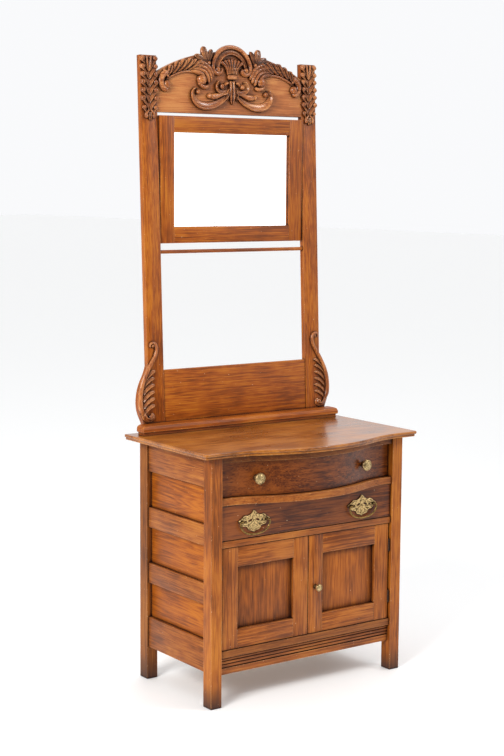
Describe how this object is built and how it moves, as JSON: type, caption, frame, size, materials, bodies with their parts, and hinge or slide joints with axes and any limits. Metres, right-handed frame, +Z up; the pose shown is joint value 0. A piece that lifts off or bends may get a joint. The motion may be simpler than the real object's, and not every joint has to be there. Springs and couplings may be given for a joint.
{
  "type": "washstand with swivel mirror",
  "caption": "Serpentine-front washstand with drawers, a two-door cupboard and a carved harp that holds a swivel mirror over a towel bar",
  "frame": {"origin": "on the floor, under the middle of the whole washstand's outline seen from above", "axes": "+Z up, +X to the right as seen from the front, +Y from the doors to the back boards"},
  "size_m": [0.78, 0.5362, 1.9113],
  "materials": {
    "case_walnut": "oiled",
    "inner_boards": "unfinished",
    "top_boards": "waxed",
    "drawer_fronts": "satin varnish",
    "doors": "oiled",
    "harp_timber": "waxed",
    "carving": "satin",
    "mirror_frame": "waxed",
    "mirror_glass": "polished, lightly foxed",
    "brass": "darkened",
    "steel": "dull"
  },
  "bodies": {
    "case": {"front_left_leg": "case_walnut", "front_right_leg": "case_walnut", "rear_left_leg": "case_walnut", "rear_right_leg": "case_walnut", "left_side_rails": "case_walnut", "right_side_rails": "case_walnut", "left_side_panels": "case_walnut", "right_side_panels": "case_walnut", "top_rail": "case_walnut", "drawer_rail": "case_walnut", "door_rail": "case_walnut", "door_sill": "case_walnut", "reeded_bottom_rail": "case_walnut", "back_boards": "inner_boards", "cupboard_floor": "inner_boards", "drawer_runners": "inner_boards", "dust_panels": "inner_boards", "door_stop": "inner_boards", "front_top_board": "top_boards", "middle_top_board": "top_boards", "rear_top_board": "top_boards", "left_harp_post": "harp_timber", "right_harp_post": "harp_timber", "crest_board": "harp_timber", "splash_panel": "harp_timber", "towel_bar": "harp_timber", "post_wings": "harp_timber", "harp_base_moulding": "harp_timber", "crest_carving": "carving", "post_leaf_drops": "carving", "leaf_scrolls": "carving", "leg_hinge_leaves": "steel", "harp_screws": "steel", "mirror_pivot_pins": "steel"},
    "mirror": {"mirror_stiles": "mirror_frame", "mirror_rails": "mirror_frame", "mirror_glass": "mirror_glass", "mirror_glass_beads": "mirror_frame", "mirror_backboard": "inner_boards", "mirror_pivot_bushes": "brass"},
    "upper_drawer": {"upper_drawer_front": "drawer_fronts", "upper_drawer_walls": "inner_boards", "upper_drawer_bottom": "inner_boards", "upper_drawer_knobs": "drawer_fronts"},
    "lower_drawer": {"lower_drawer_front": "drawer_fronts", "lower_drawer_walls": "inner_boards", "lower_drawer_bottom": "inner_boards", "pull_plates": "brass", "pull_posts": "brass"},
    "left_bail": {"left_bail": "brass"},
    "right_bail": {"right_bail": "brass"},
    "left_door": {"left_door_stiles": "doors", "left_door_rails": "doors", "left_door_panel": "doors", "left_door_hinge_leaves": "steel"},
    "right_door": {"right_door_stiles": "doors", "right_door_rails": "doors", "right_door_panel": "doors", "right_door_hinge_leaves": "steel", "door_knob": "doors"}
  },
  "joints": [
    {"name": "mirror_tilt", "type": "hinge", "parent": "case", "child": "mirror", "pos_m": [0, 0.24238, 1.50881], "axis": [1, 0, 0], "range_deg": [-30, 30]},
    {"name": "upper_drawer_slide", "type": "slide", "parent": "case", "child": "upper_drawer", "axis": [0, -1, 0], "range_m": [0, 0.26]},
    {"name": "lower_drawer_slide", "type": "slide", "parent": "case", "child": "lower_drawer", "axis": [0, -1, 0], "range_m": [0, 0.26]},
    {"name": "left_bail_swing", "type": "hinge", "parent": "lower_drawer", "child": "left_bail", "pos_m": [-0.2, -0.17557, 0.53375], "axis": [-1, 0, 0], "range_deg": [0, 95]},
    {"name": "right_bail_swing", "type": "hinge", "parent": "lower_drawer", "child": "right_bail", "pos_m": [0.2, -0.17557, 0.53375], "axis": [-1, 0, 0], "range_deg": [0, 95]},
    {"name": "left_door_swing", "type": "hinge", "parent": "case", "child": "left_door", "pos_m": [-0.3115, -0.16657, 0.3135], "axis": [0, 0, -1], "range_deg": [0, 100]},
    {"name": "right_door_swing", "type": "hinge", "parent": "case", "child": "right_door", "pos_m": [0.3115, -0.16657, 0.3135], "axis": [0, 0, 1], "range_deg": [0, 100]}
  ]
}
